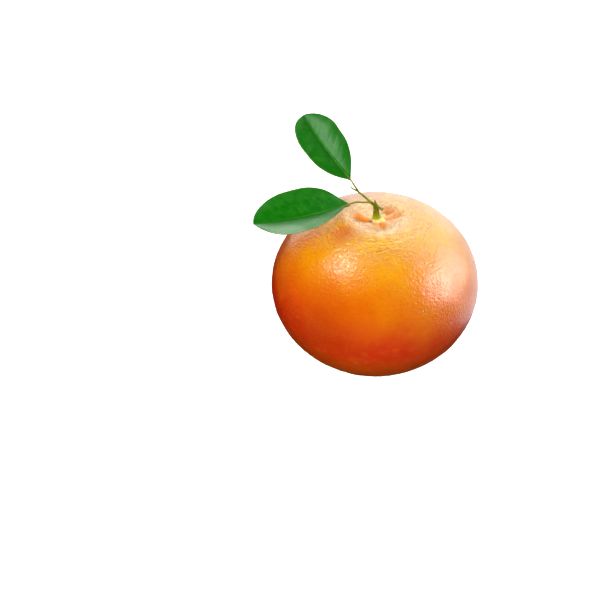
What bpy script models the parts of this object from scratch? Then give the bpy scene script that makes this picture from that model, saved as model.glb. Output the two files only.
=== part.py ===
"""A grapefruit as picked: the fruit, the calyx and stub of its stem, and a twig with two leaves.

Metres, +Z up. The fruit stands on its blossom end, with the stem at the top. The origin is the middle of
the flat spot that it rests on, and -Y is the front.
"""

import math
from collections import namedtuple

import bmesh
import bpy
from mathutils import Matrix, Vector

# Touching pieces keep this gap.
GAP = 0.0003

# The fruit: wide and flattened, with a dimple at the stem end.
FRUIT_DIAMETER = 0.105
FRUIT_RADIUS = FRUIT_DIAMETER / 2
UPPER_HEIGHT = 0.0420
LOWER_HEIGHT = 0.0460
REST_RADIUS = 0.0110
FRUIT_STEPS = 80

# The dimple: a flat seat for the calyx, and the radius where the shoulders start.
SEAT_DEPTH = 0.0037
SEAT_RADIUS = 0.0058
SHOULDER_RADIUS = 0.0190
RING_SPACING = 0.0012

# The equator is a little out of round: size and direction of its two-fold and three-fold waves.
OVAL = 0.004
OVAL_DIRECTION = math.radians(20)
TRIANGLE = 0.004
TRIANGLE_DIRECTION = math.radians(75)

# Furrows run out from the calyx, and the skin between them is puffed up.
Furrow = namedtuple("Furrow", "direction depth reach spread")
FURROWS = (
    Furrow(direction=182, depth=0.0019, reach=0.0180, spread=15),
    Furrow(direction=294, depth=0.0016, reach=0.0135, spread=15),
    Furrow(direction=38, depth=0.0019, reach=0.0150, spread=14),
    Furrow(direction=5, depth=0.0013, reach=0.0190, spread=11),
    Furrow(direction=92, depth=0.0012, reach=0.0150, spread=13),
    Furrow(direction=133, depth=0.0010, reach=0.0160, spread=12),
    Furrow(direction=236, depth=0.0006, reach=0.0160, spread=12),
    Furrow(direction=333, depth=0.0005, reach=0.0150, spread=10),
)
FURROW_START = 0.0028
PUFF_HEIGHT = 0.0007
PUFF_REACH = 0.0200

# Heights of the fruit's widest level and of the seat.
MIDDLE = LOWER_HEIGHT * math.sqrt(1 - (REST_RADIUS / FRUIT_RADIUS) ** 2)
SEAT_LEVEL = MIDDLE + UPPER_HEIGHT - SEAT_DEPTH

# The calyx: a thin star of five lobes with a raised collar in the middle.
CALYX_RADIUS = 0.0038
LOBE_LENGTH = 0.0013
LOBE_LIFT = 0.0006
LOBE_SPREAD = math.radians(23)
LOBE_DIRECTIONS = [math.radians(angle) for angle in (190, 298, 10, 72, 130)]
CALYX_THICKNESS = 0.0009
CALYX_EDGE = 0.0002
COLLAR_RADIUS = 0.0023
COLLAR_HEIGHT = 0.0014
CALYX_STEPS = 60

# The stem: a stub that stands on the calyx, a knot at its top, and the twig through the knot.
STUB_FOOT = Vector((-0.0004, 0, SEAT_LEVEL + COLLAR_HEIGHT + 2 * GAP))
STUB_FOOT_RADIUS = 0.0019
STUB_RADIUS = 0.0013
KNOT = Vector((-0.0007, 0, 0.0913))
KNOT_RADIUS = 0.0014
KNOT_FLATNESS = 0.8
BRANCH_END = Vector((0.0026, -0.0019, 0.0909))
BRANCH_RADIUS = 0.0007
FORK = Vector((-0.0094, 0.0020, 0.0988))
LEFT_JOINT = Vector((-0.0036, 0.0006, 0.0934))
UPPER_JOINT = Vector((-0.0105, 0.0024, 0.1004))
TWIG_RADIUS = 0.0005
SPUR_BEND = Vector((-0.0117, 0.0024, 0.0999))
SPUR_END = Vector((-0.0132, 0.0026, 0.1010))
SPUR_RADIUS = 0.00036
BUD_TIP = Vector((-0.0014, 0, 0.0950))
BUD_RADIUS = 0.0008

# The leaves. Each half of a blade has its own width, place of its widest point along the leaf, and
# exponents that draw out its foot and round its tip. Angles are in degrees.
Half = namedtuple("Half", "width widest foot tip")
Leaf = namedtuple(
    "Leaf", "name joint stalk foot azimuth pitch roll twist length sag bend fold left right"
)
LEAVES = (
    Leaf(
        name="leaf_left",
        joint=LEFT_JOINT,
        stalk=(Vector((-0.0076, 0, 0.0939)), Vector((-0.0109, -0.0010, 0.0945))),
        foot=Vector((-0.0137, -0.0020, 0.0946)),
        azimuth=196,
        pitch=0,
        roll=-22,
        twist=-4.5,
        length=0.0490,
        sag=0.075,
        bend=0.053,
        fold=24,
        left=Half(width=0.0119, widest=0.72, foot=1.55, tip=0.82),
        right=Half(width=0.0138, widest=0.535, foot=1.60, tip=0.60),
    ),
    Leaf(
        name="leaf_upper",
        joint=UPPER_JOINT,
        stalk=(),
        foot=Vector((-0.0133, 0.0035, 0.1051)),
        azimuth=145,
        pitch=44,
        roll=-19,
        twist=-6.5,
        length=0.0392,
        sag=0.044,
        bend=0.032,
        fold=15,
        left=Half(width=0.0112, widest=0.68, foot=1.05, tip=0.35),
        right=Half(width=0.0112, widest=0.65, foot=1.36, tip=0.70),
    ),
)
BLADE_THICKNESS = 0.0007
RIB_THICKNESS = 0.0015
RIB_SPREAD = 0.12
BLADE_END = 0.0004
BLADE_CAMBER = 0.045
EDGE_WAVE = 0.0004
EDGE_WAVES = 3.5
STALK_RADIUS = 0.00045
STALK_OVERLAP = 0.09
BLADE_CELLS_ALONG = 26
BLADE_CELLS_ACROSS = 12

# Edges sharper than this are drawn as creases.
CREASE_ANGLE = math.radians(50)


def clear_scene():
    for obj in list(bpy.data.objects):
        bpy.data.objects.remove(obj, do_unlink=True)


def make_collection(name):
    collection = bpy.data.collections.new(name)
    bpy.context.scene.collection.children.link(collection)
    return collection


def make_material(name, colour, roughness):
    material = bpy.data.materials.new(name)
    material.use_nodes = True
    shader = material.node_tree.nodes["Principled BSDF"]
    shader.inputs["Base Color"].default_value = (*colour, 1)
    shader.inputs["Roughness"].default_value = roughness
    shader.inputs["Metallic"].default_value = 0
    material.diffuse_color = (*colour, 1)
    return material


def add_object(name, data, collection, material=None):
    obj = bpy.data.objects.new(name, data)
    collection.objects.link(obj)
    if material:
        data.materials.append(material)
    return obj


def bake(obj, weld=1e-7):
    """Replaces a curve, or a mesh with modifiers, by its evaluated mesh with doubled points merged."""
    bpy.context.view_layer.update()
    graph = bpy.context.evaluated_depsgraph_get()
    mesh = bpy.data.meshes.new_from_object(obj.evaluated_get(graph))
    shape = bmesh.new()
    shape.from_mesh(mesh)
    bmesh.ops.remove_doubles(shape, verts=shape.verts, dist=weld)
    shape.to_mesh(mesh)
    shape.free()
    baked = bpy.data.objects.new(obj.name, mesh)
    baked.matrix_world = obj.matrix_world
    for collection in list(obj.users_collection):
        collection.objects.link(baked)
    name = obj.name
    bpy.data.objects.remove(obj, do_unlink=True)
    baked.name = name
    return baked


def turned(name, profile, steps, collection, material):
    """Turns a profile of (radius, height) points round Z. It runs down the outer side, top to bottom."""
    mesh = bpy.data.meshes.new(name)
    shape = bmesh.new()
    points = [shape.verts.new((radius, 0, height)) for radius, height in profile]
    for upper, lower in zip(points, points[1:]):
        shape.edges.new((upper, lower))
    shape.to_mesh(mesh)
    shape.free()
    obj = add_object(name, mesh, collection, material)
    screw = obj.modifiers.new("Turn", "SCREW")
    screw.axis = "Z"
    screw.steps = steps
    screw.render_steps = steps
    screw.use_merge_vertices = True
    screw.merge_threshold = 1e-6
    return bake(obj)


def tube(name, points, radii, collection, sides=2):
    """A round rod with filled ends through the points, with a radius at each."""
    curve = bpy.data.curves.new(name, "CURVE")
    curve.dimensions = "3D"
    curve.bevel_depth = 1
    curve.bevel_resolution = sides
    curve.use_fill_caps = True
    spline = curve.splines.new("POLY")
    spline.points.add(len(points) - 1)
    for control, point, radius in zip(spline.points, points, radii):
        control.co = (*point, 1)
        control.radius = radius
    return bake(add_object(name, curve, collection))


def joined(name, obj, others, collection, material):
    """Fuses the other objects into obj, as one body with one material."""
    helpers = make_collection(name + "_pieces")
    for other in others:
        helpers.objects.link(other)
        collection.objects.unlink(other)
    union = obj.modifiers.new("Join", "BOOLEAN")
    union.operation = "UNION"
    union.operand_type = "COLLECTION"
    union.collection = helpers
    union.solver = "EXACT"
    whole = bake(obj)
    for other in others:
        bpy.data.objects.remove(other, do_unlink=True)
    bpy.data.collections.remove(helpers)
    whole.name = name
    whole.data.name = name
    whole.data.materials.clear()
    whole.data.materials.append(material)
    return whole


def shade(obj):
    """Smooth shading, with creases kept where faces meet at a sharp angle."""
    obj.data.shade_smooth()
    obj.data.set_sharp_from_angle(angle=CREASE_ANGLE)


def smooth_step(low, high, value):
    t = min(max((value - low) / (high - low), 0), 1)
    return t * t * (3 - 2 * t)


def fruit_profile():
    """(radius, height) of the fruit's rings: close together in the dimple, wider apart below it."""
    ring_count = math.ceil(PUFF_REACH / RING_SPACING)
    angles = [math.asin(index * RING_SPACING / FRUIT_RADIUS) for index in range(ring_count + 1)]
    rest_angle = math.pi - math.asin(REST_RADIUS / FRUIT_RADIUS)
    for start, end, count in ((angles[-1], math.pi / 2, 13), (math.pi / 2, rest_angle, 13)):
        angles += [start + (end - start) * (index + 1) / count for index in range(count)]
    profile = []
    for angle in angles:
        radius = FRUIT_RADIUS * math.sin(angle)
        half_height = UPPER_HEIGHT if angle < math.pi / 2 else LOWER_HEIGHT
        height = MIDDLE + half_height * math.cos(angle)
        if angle < math.pi / 2:
            shoulder = smooth_step(SEAT_RADIUS, SHOULDER_RADIUS, radius)
            height = SEAT_LEVEL + (height - SEAT_LEVEL) * shoulder
        profile.append((radius, height))
    profile[-1] = (REST_RADIUS, 0)
    profile.append((0, 0))
    return profile


def furrow_height(radius, direction):
    """How far the skin round the calyx lies above the smooth dimple: puffed up, less its furrows."""
    rise = smooth_step(SEAT_RADIUS, SEAT_RADIUS + FURROW_START, radius)
    height = PUFF_HEIGHT * rise * (1 - smooth_step(PUFF_REACH / 2, PUFF_REACH, radius))
    for furrow in FURROWS:
        turn = math.remainder(direction - math.radians(furrow.direction), math.tau)
        across = math.exp(-((turn / math.radians(furrow.spread)) ** 2))
        height -= furrow.depth * across * rise * (1 - smooth_step(furrow.reach / 2, furrow.reach, radius))
    return height


def out_of_round(direction):
    return 1 + OVAL * math.cos(2 * (direction - OVAL_DIRECTION)) + TRIANGLE * math.cos(
        3 * (direction - TRIANGLE_DIRECTION)
    )


def make_fruit(collection, material):
    fruit = turned("fruit", fruit_profile(), FRUIT_STEPS, collection, material)
    for vertex in fruit.data.vertices:
        radius = math.hypot(vertex.co.x, vertex.co.y)
        direction = math.atan2(vertex.co.y, vertex.co.x)
        if vertex.co.z > MIDDLE:
            vertex.co.z += furrow_height(radius, direction)
        away = smooth_step(SEAT_RADIUS, FRUIT_RADIUS, radius)
        vertex.co.xy *= 1 + (out_of_round(direction) - 1) * away
    shade(fruit)
    return fruit


def make_calyx(collection, material):
    underside = SEAT_LEVEL + GAP
    flange = underside + CALYX_THICKNESS
    collar = underside + COLLAR_HEIGHT
    profile = [
        (0, collar),
        (COLLAR_RADIUS * 0.85, collar),
        (COLLAR_RADIUS, collar - CALYX_EDGE),
        (COLLAR_RADIUS * 1.15, flange + CALYX_EDGE),
        (CALYX_RADIUS * 0.8, flange),
        (CALYX_RADIUS * 0.94, flange - CALYX_EDGE / 2),
        (CALYX_RADIUS, (flange + underside) / 2),
        (CALYX_RADIUS * 0.94, underside),
        (CALYX_RADIUS * 0.8, underside),
        (CALYX_RADIUS * 0.5, underside),
        (0, underside),
    ]
    calyx = turned("calyx", profile, CALYX_STEPS, collection, material)
    for vertex in calyx.data.vertices:
        radius = math.hypot(vertex.co.x, vertex.co.y)
        direction = math.atan2(vertex.co.y, vertex.co.x)
        turns = [math.remainder(direction - lobe, math.tau) / LOBE_SPREAD for lobe in LOBE_DIRECTIONS]
        lobe = max(math.exp(-(turn**2)) for turn in turns)
        outward = smooth_step(CALYX_RADIUS * 0.6, CALYX_RADIUS, radius)
        vertex.co.xy *= 1 + LOBE_LENGTH / CALYX_RADIUS * lobe * outward
        vertex.co.z += LOBE_LIFT * lobe * outward
    shade(calyx)
    return calyx


def make_knot(collection):
    shape = bmesh.new()
    place = Matrix.Translation(KNOT) @ Matrix.Diagonal((1, 1, KNOT_FLATNESS, 1))
    bmesh.ops.create_uvsphere(shape, u_segments=14, v_segments=9, radius=KNOT_RADIUS, matrix=place)
    mesh = bpy.data.meshes.new("knot")
    shape.to_mesh(mesh)
    shape.free()
    return add_object("knot", mesh, collection)


def make_stem(collection, material):
    stub_points = [STUB_FOOT.lerp(KNOT, share) for share in (0, 0.15, 0.4, 0.7, 1)]
    stub_radii = [STUB_FOOT_RADIUS] + [STUB_RADIUS * size for size in (1.3, 1.08, 1, 1)]
    stub = tube("stem", stub_points, stub_radii, collection, sides=4)
    knot = make_knot(collection)
    twig_points = [KNOT.lerp(FORK, share) for share in (0.02, 0.2, 0.45, 0.8, 1)] + [UPPER_JOINT]
    twig_radii = [TWIG_RADIUS * size for size in (2, 1.6, 1.15, 1, 1.1, 1.1)]
    twig = tube("twig", twig_points, twig_radii, collection)
    spur_points = [KNOT.lerp(FORK, 0.9), FORK, SPUR_BEND, SPUR_END]
    spur_radii = [SPUR_RADIUS * size for size in (1.1, 1.2, 1, 1.1)]
    spur = tube("spur", spur_points, spur_radii, collection)
    branch_points = [KNOT.lerp(BRANCH_END, share) for share in (-0.03, 0.6, 1)]
    branch = tube("branch", branch_points, [BRANCH_RADIUS * size for size in (1.3, 1, 1.05)], collection)
    bud_points = [KNOT.lerp(BUD_TIP, share) for share in (0.03, 0.55, 1)]
    bud = tube("bud", bud_points, [BUD_RADIUS * size for size in (1, 0.9, 0.35)], collection)
    stem = joined("stem", stub, [knot, twig, spur, branch, bud], collection, material)
    shade(stem)
    return stem


def blade_axes(leaf):
    """Unit vectors along a blade, to its left side and out of its upper face."""
    azimuth, pitch = math.radians(leaf.azimuth), math.radians(leaf.pitch)
    level = math.cos(pitch)
    along = Vector((level * math.cos(azimuth), level * math.sin(azimuth), math.sin(pitch)))
    side = Vector((0, 0, 1)).cross(along).normalized()
    roll = Matrix.Rotation(math.radians(leaf.roll), 3, along)
    return along, roll @ side, roll @ along.cross(side)


def half_width(half, share):
    """Width of one half of the blade at a share of its length: narrow at the foot, rounded at the tip."""
    if share < half.widest:
        return half.width * (1 - (1 - share / half.widest) ** 3) ** half.foot
    beyond = (share - half.widest) / (1 - half.widest)
    return half.width * max(1 - beyond**2, 0) ** half.tip


def rib_point(leaf, share):
    """A point of the midrib, on the upper face, at a share of the leaf's length."""
    along, side, normal = blade_axes(leaf)
    forward = along * leaf.length * share
    sideways = side * leaf.bend * leaf.length * math.sin(math.pi * share)
    return leaf.foot + forward + sideways - normal * leaf.sag * leaf.length * share**2


def blade_point(leaf, share, across):
    """A point of the upper face. across runs from -1, the right edge, to 1, the left edge."""
    along, side, normal = blade_axes(leaf)
    twist = Matrix.Rotation(math.radians(leaf.twist) * (share - 0.5), 3, along)
    half = leaf.left if across > 0 else leaf.right
    reach = (half_width(half, share) + BLADE_END) * abs(across)
    fold = math.radians(leaf.fold)
    camber = BLADE_CAMBER * half_width(half, share) * math.sin(math.pi * abs(across))
    wave = EDGE_WAVE * math.sin(math.tau * EDGE_WAVES * share + 2 * across)
    wave *= across**2 * math.sin(math.pi * share)
    outward = side * reach * math.cos(fold) * math.copysign(1, across)
    upward = normal * (reach * math.sin(fold) + camber + wave)
    return rib_point(leaf, share) + twist @ (outward + upward)


def make_blade(leaf, collection):
    """The blade's upper face from a grid, thickened downwards, most along the midrib."""
    shape = bmesh.new()
    bmesh.ops.create_grid(shape, x_segments=BLADE_CELLS_ALONG, y_segments=BLADE_CELLS_ACROSS, size=1)
    ribs = []
    for vertex in shape.verts:
        share, across = (vertex.co.x + 1) / 2, vertex.co.y
        ribs.append(math.exp(-((across / RIB_SPREAD) ** 2)) * (1 - share / 2))
        vertex.co = blade_point(leaf, share, across)
    bmesh.ops.triangulate(shape, faces=shape.faces)
    mesh = bpy.data.meshes.new(leaf.name)
    shape.to_mesh(mesh)
    shape.free()
    blade = add_object(leaf.name, mesh, collection)
    rib = blade.vertex_groups.new(name="rib")
    for index, weight in enumerate(ribs):
        rib.add([index], weight, "REPLACE")
    solid = blade.modifiers.new("Thickness", "SOLIDIFY")
    solid.thickness = RIB_THICKNESS
    solid.offset = -1
    solid.vertex_group = "rib"
    solid.thickness_vertex_group = BLADE_THICKNESS / RIB_THICKNESS
    return bake(blade)


def make_leaf(leaf, collection, material):
    blade = make_blade(leaf, collection)
    normal = blade_axes(leaf)[2]
    run_in = [rib_point(leaf, share) - normal * STALK_RADIUS * 0.9 for share in (0.01, STALK_OVERLAP)]
    first = leaf.stalk[0] if leaf.stalk else run_in[0]
    clearance = GAP + (TWIG_RADIUS * 1.15 if leaf.stalk else 0)
    start = leaf.joint + (first - leaf.joint).normalized() * clearance
    points = [start, *leaf.stalk, *run_in]
    radii = [STALK_RADIUS * 1.15] + [STALK_RADIUS] * (len(points) - 2) + [STALK_RADIUS * 0.7]
    stalk = tube("stalk", points, radii, collection)
    whole = joined(leaf.name, blade, [stalk], collection, material)
    shade(whole)
    return whole


def main():
    clear_scene()
    collection = make_collection("Grapefruit")
    make_fruit(collection, make_material("rind", (0.93, 0.42, 0.09), 0.42))
    make_calyx(collection, make_material("calyx", (0.78, 0.72, 0.38), 0.6))
    make_stem(collection, make_material("stem", (0.28, 0.32, 0.06), 0.55))
    leaf_green = make_material("leaf", (0.03, 0.24, 0.03), 0.35)
    for leaf in LEAVES:
        make_leaf(leaf, collection, leaf_green)


main()
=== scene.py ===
# %% [markdown]
# # A grapefruit as picked
# This lesson dresses a finished solid model: a whole grapefruit with the star of its calyx, the stub of its
# stem, and a twig with two leaves. The solids say where everything is and how large it is. The cells below
# add what the eye looks for: pitted skin, puckers round the stem, veined leaves and soft studio light.

# %% Load the solid model
import math
from math import radians

import bpy
import numpy as np
from mathutils import Matrix, Vector, kdtree, noise


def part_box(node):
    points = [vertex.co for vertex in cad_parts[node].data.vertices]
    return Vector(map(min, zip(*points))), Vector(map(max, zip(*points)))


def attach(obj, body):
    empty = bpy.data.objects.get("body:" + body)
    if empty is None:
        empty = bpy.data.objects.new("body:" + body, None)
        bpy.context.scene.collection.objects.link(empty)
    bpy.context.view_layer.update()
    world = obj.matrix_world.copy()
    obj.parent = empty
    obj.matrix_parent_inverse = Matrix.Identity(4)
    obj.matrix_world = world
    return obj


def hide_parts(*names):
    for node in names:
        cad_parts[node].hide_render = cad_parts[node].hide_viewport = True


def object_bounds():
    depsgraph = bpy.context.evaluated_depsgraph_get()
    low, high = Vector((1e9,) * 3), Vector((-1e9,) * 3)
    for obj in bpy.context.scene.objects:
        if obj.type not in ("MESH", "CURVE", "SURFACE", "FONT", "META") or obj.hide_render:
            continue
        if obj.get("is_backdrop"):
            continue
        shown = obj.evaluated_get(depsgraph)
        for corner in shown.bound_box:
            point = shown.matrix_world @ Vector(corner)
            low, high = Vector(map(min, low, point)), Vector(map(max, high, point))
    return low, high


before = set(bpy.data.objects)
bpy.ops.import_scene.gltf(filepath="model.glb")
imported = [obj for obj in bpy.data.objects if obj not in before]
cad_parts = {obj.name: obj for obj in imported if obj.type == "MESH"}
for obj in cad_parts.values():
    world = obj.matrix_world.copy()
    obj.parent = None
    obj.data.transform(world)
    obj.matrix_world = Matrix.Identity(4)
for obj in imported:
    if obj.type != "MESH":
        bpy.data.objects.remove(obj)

MM = 0.001


def tenths(lengths):
    """Lengths in mm with one decimal, for printing."""
    return [round(length / MM, 1) for length in lengths]


solid_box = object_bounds()
fruit_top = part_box("fruit")[1].z
print("solids, in mm:", tenths(solid_box[1] - solid_box[0]))
print("nodes:", sorted(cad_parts))

# %% [markdown]
# ## The camera
# A camera's place follows from what the picture shows. The fruit's outline gives the scale, and how far one
# sees down into the dimple gives the camera's height above the horizon. A long lens keeps the two sides of
# the fruit nearly alike.

# %% Put the camera where the picture was taken
PICTURE_PIXELS = 600
SENSOR_WIDTH = 36
FOCAL_PIXELS = 1750
CAMERA_ELEVATION = radians(38)
FRUIT_PIXEL = (375, 281)
FRUIT_HALF_WIDTH_PIXELS = 102.8
FRUIT_RADIUS = 52.5 * MM
FRUIT_CENTRE = Vector((0, 0, 45 * MM))

distance = FOCAL_PIXELS * FRUIT_RADIUS / FRUIT_HALF_WIDTH_PIXELS
metres_per_pixel = distance / FOCAL_PIXELS
picture_right = Vector((1, 0, 0))
picture_up = Vector((0, math.sin(CAMERA_ELEVATION), math.cos(CAMERA_ELEVATION)))
to_camera = picture_right.cross(picture_up)
pixels_right = FRUIT_PIXEL[0] - PICTURE_PIXELS / 2
pixels_up = PICTURE_PIXELS / 2 - FRUIT_PIXEL[1]
aim = FRUIT_CENTRE - (picture_right * pixels_right + picture_up * pixels_up) * metres_per_pixel

camera_place = aim + to_camera * distance
bpy.ops.object.camera_add(location=camera_place, rotation=(math.pi / 2 - CAMERA_ELEVATION, 0, 0))
camera = bpy.context.object
camera.name = "picture_camera"
camera.data.sensor_width = SENSOR_WIDTH
camera.data.lens = SENSOR_WIDTH * FOCAL_PIXELS / PICTURE_PIXELS
bpy.context.scene.camera = camera
print("camera", round(distance, 3), "m away, lens", camera.data.lens, "mm")

# %% [markdown]
# ## Light
# Each shiny spot on a round fruit is a mirror image of a lamp, so the spots say where the lamps stood. The
# large pale patch on the right is a big softbox with a wider, weaker halo. The small patch on the left is a
# softbox high up. The pale sheen round the stem comes from a bright wall behind and a window above it, and
# a dim card below the floor lights the fruit's lower edge. Elsewhere the skin shows its pure colour, lit
# softly from the front and both sides. So some lamps only mirror in the wax, and some only light the skin.

# %% Softboxes
LAMP_DISTANCE = 0.8
# Azimuth and elevation in degrees, brightness, width and height in metres.
MIRRORED_LAMPS = {
    "softbox_right": (86, 25, 4.9, 0.40, 0.50),
    "halo_right": (96, 19, 3.0, 0.80, 0.64),
    "softbox_left": (-82, 63, 15.5, 0.28, 0.18),
    "wall_behind": (183, 14, 1.75, 1.24, 0.60),
    "window_behind": (161, 51, 4.3, 0.56, 0.48),
    "wall_behind_right": (128, 16, 1.6, 0.60, 0.46),
    "low_card": (138, -22, 1.1, 1.9, 0.60),
    "leaf_sheen": (6, 47, 5.4, 0.25, 0.34),
    "leaf_card": (-164, 52, 6.5, 0.36, 0.36),
}
LIGHTING_LAMPS = {
    "light_front": (-13, 34, 4.7, 0.7, 0.7),
    "light_left": (-105, 52, 3.6, 0.5, 0.5),
    "light_right": (119, 3, 4.3, 0.9, 0.9),
}


def add_softbox(name, azimuth, elevation, brightness, width, height, lights=True, mirrors=True):
    """An area lamp that looks at the fruit. Azimuth 0 is the camera's side and 90 the right-hand side."""
    turn, rise = radians(azimuth), radians(elevation)
    direction = Vector((math.sin(turn) * math.cos(rise), -math.cos(turn) * math.cos(rise), math.sin(rise)))
    bpy.ops.object.light_add(type="AREA", location=FRUIT_CENTRE + direction * LAMP_DISTANCE)
    lamp = bpy.context.object
    lamp.name = name
    lamp.rotation_euler = direction.to_track_quat("Z", "Y").to_euler()
    lamp.data.shape = "RECTANGLE"
    lamp.data.size = width
    lamp.data.size_y = height
    lamp.data.energy = brightness * math.pi * width * height
    lamp.visible_diffuse = lights
    lamp.visible_glossy = mirrors
    # This sampling serves mirror images, so a lamp that has none goes without.
    lamp.data.cycles.use_multiple_importance_sampling = mirrors
    print(name, round(lamp.data.energy, 2), "W")
    return lamp


lamps = {name: add_softbox(name, *lamp, lights=False) for name, lamp in MIRRORED_LAMPS.items()}
lamps |= {name: add_softbox(name, *lamp, mirrors=False) for name, lamp in LIGHTING_LAMPS.items()}
# The card is below the floor, and the left leaf would shade a shoulder that is bright in the picture.
for name in ("low_card", "light_left"):
    lamps[name].data.use_shadow = False

# %% [markdown]
# The sky is white, and only the camera sees it. It neither lights nor mirrors, so the lamps alone shape the
# fruit. The Standard view adds no film look to the colours.

# %% Sky and exposure
WHITE = (1, 1, 1, 1)

world = bpy.data.worlds.new("studio")
bpy.context.scene.world = world
world.use_nodes = True
sky = world.node_tree.nodes["Background"]
sky.inputs["Color"].default_value = WHITE
sky.inputs["Strength"].default_value = 1.0
world.cycles_visibility.diffuse = False
world.cycles_visibility.glossy = False
bpy.context.scene.view_settings.view_transform = "Standard"
print("sky strength", sky.inputs["Strength"].default_value)

# %% [markdown]
# ## Building materials from nodes
# A material is a small graph of nodes. Helpers keep the recipes below short: they add a node and fill its
# inputs, mix colours, do arithmetic, and read noise or a number kept on the mesh. Colours are given as they
# look on a screen, from 0 to 255, and are turned into the renderer's linear values.

# %% Helpers for materials
def colour(red, green, blue):
    """A screen colour, 0 to 255, as linear values by the sRGB standard, with full alpha."""
    shares = [value / 255 for value in (red, green, blue)]
    return (*[s / 12.92 if s <= 0.04045 else ((s + 0.055) / 1.055) ** 2.4 for s in shares], 1)


def new_material(name):
    material = bpy.data.materials.new(name)
    material.use_nodes = True
    return material


def add_node(material, kind, inputs, **settings):
    """Adds a node with its settings. An input that is another node's socket is linked, any other is set."""
    made = material.node_tree.nodes.new("ShaderNode" + kind)
    for name, value in settings.items():
        setattr(made, name, value)
    fill_inputs(material, made, inputs)
    return made


def fill_inputs(material, made, inputs):
    for name, value in inputs.items():
        if isinstance(value, bpy.types.NodeSocket):
            material.node_tree.links.new(value, made.inputs[name])
        else:
            made.inputs[name].default_value = value


def set_shader(material, inputs):
    fill_inputs(material, material.node_tree.nodes["Principled BSDF"], inputs)


def mixed(material, share, first, second):
    """The first colour where share is 0, the second where it is 1. A Mix node has its colours at 6 and 7."""
    return add_node(material, "Mix", {0: share, 6: first, 7: second}, data_type="RGBA").outputs[2]


def place_in_mm(material):
    """The point on the object in millimetres, so that pattern sizes read as real sizes."""
    spot = add_node(material, "TexCoord", {}).outputs["Object"]
    return add_node(material, "Mapping", {"Vector": spot, "Scale": (1 / MM,) * 3}).outputs["Vector"]


def noise_at(material, spot, size, detail=2.0, roughness=0.5):
    """Soft noise from 0 to 1 whose blotches are about size millimetres wide."""
    inputs = {"Vector": spot, "Scale": 1 / size, "Detail": detail, "Roughness": roughness}
    return add_node(material, "TexNoise", inputs).outputs["Fac"]


print("material helpers ready")

# %% [markdown]
# ## The floor
# The fruit stands on a white light table. Seen directly the table glows, so no line parts it from the white
# sky. As a reflector it is a middle grey, or it would light the fruit's underside more than the picture
# shows, and the wax doesn't mirror it.

# %% Lay the floor
def start_clean():
    bpy.ops.object.select_all(action="DESELECT")


start_clean()
bpy.ops.mesh.primitive_plane_add(size=6, location=(0, 0, 0))
floor = bpy.context.object
floor.name = "studio_floor"
paper = new_material("white_paper")
fibres = noise_at(paper, place_in_mm(paper), size=3.0)
seen_white = mixed(paper, fibres, colour(250, 250, 250), colour(255, 255, 255))
lit_grey = mixed(paper, fibres, colour(150, 148, 146), colour(156, 154, 152))
seen_directly = add_node(paper, "LightPath", {}).outputs["Is Camera Ray"]
set_shader(paper, {
    "Base Color": mixed(paper, seen_directly, lit_grey, seen_white),
    "Roughness": 0.9,
    "Specular IOR Level": 0.1,
    "Emission Color": WHITE,
    "Emission Strength": seen_directly,
})
floor.data.materials.append(paper)
floor.visible_glossy = False
floor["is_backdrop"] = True
print("floor", floor.dimensions[0], "m wide")

# %% [markdown]
# ## Helpers for modelling
# Operators act on whatever is selected, so each new piece starts with nothing selected. Points are read and
# written all at once as arrays, which is quick even for a hundred thousand of them. Most shapes below are
# put together from three curves: a smooth rise, a smooth fall and a bell.

# %% Helpers for meshes
def apply_modifier(obj, kind, **settings):
    """Adds a modifier with its settings and applies it at once."""
    bpy.context.view_layer.objects.active = obj
    modifier = obj.modifiers.new(kind.title(), kind)
    for name, value in settings.items():
        setattr(modifier, name, value)
    bpy.ops.object.modifier_apply(modifier=modifier.name)


def read_points(obj, what="co"):
    values = np.empty(len(obj.data.vertices) * 3)
    obj.data.vertices.foreach_get(what, values)
    return values.reshape(-1, 3)


def write_points(obj, points):
    obj.data.vertices.foreach_set("co", np.asarray(points, dtype=float).ravel())
    obj.data.update()


def store(obj, name, values):
    """Keeps a number for each point, for the material to read."""
    stored = obj.data.attributes.new(name, "FLOAT", "POINT")
    stored.data.foreach_set("value", np.asarray(values, dtype=np.float32))


print("mesh helpers ready")

# %% Curves for the shapes
def smooth_step(low, high, value):
    """0 up to low, 1 from high on, and a smooth rise between."""
    share = np.clip((value - low) / (high - low), 0, 1)
    return share * share * (3 - 2 * share)


def smooth_fall(low, high, value):
    return 1 - smooth_step(low, high, value)


def bell(distance, width):
    """1 where distance is 0, about a third at one width, and almost nothing at two."""
    return np.exp(-((distance / width) ** 2))


def turn_between(direction, other):
    """The angle from one direction to the other, at most half a turn either way."""
    return (direction - other + np.pi) % (2 * np.pi) - np.pi


print("curves ready")

# %% [markdown]
# ## The fruit's body
# A ball made from a cube has even, square faces and no pinched poles, which suits a skin that is full of
# small pits. It is subdivided, pulled round with To Sphere, and then laid on the fruit's own profile: wide
# and flattened, with shoulders that roll over into a dimple. A formula does that last step, because no
# operator draws that profile, and the solid was turned from the same formula.

# %% Driving sizes of the fruit
UPPER_HEIGHT = 42.0 * MM
LOWER_HEIGHT = 46.0 * MM
REST_RADIUS = 11.0 * MM
SEAT_DEPTH = 3.7 * MM
SEAT_RADIUS = 5.8 * MM
SHOULDER_RADIUS = 19.0 * MM
OVAL, OVAL_DIRECTION = 0.004, radians(20)
TRIANGLE, TRIANGLE_DIRECTION = 0.004, radians(75)
MIDDLE = LOWER_HEIGHT * math.sqrt(1 - (REST_RADIUS / FRUIT_RADIUS) ** 2)
SEAT_LEVEL = MIDDLE + UPPER_HEIGHT - SEAT_DEPTH
print("seat level", round(SEAT_LEVEL / MM, 2), "mm, solid's top", round(fruit_top / MM, 2), "mm")

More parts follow.
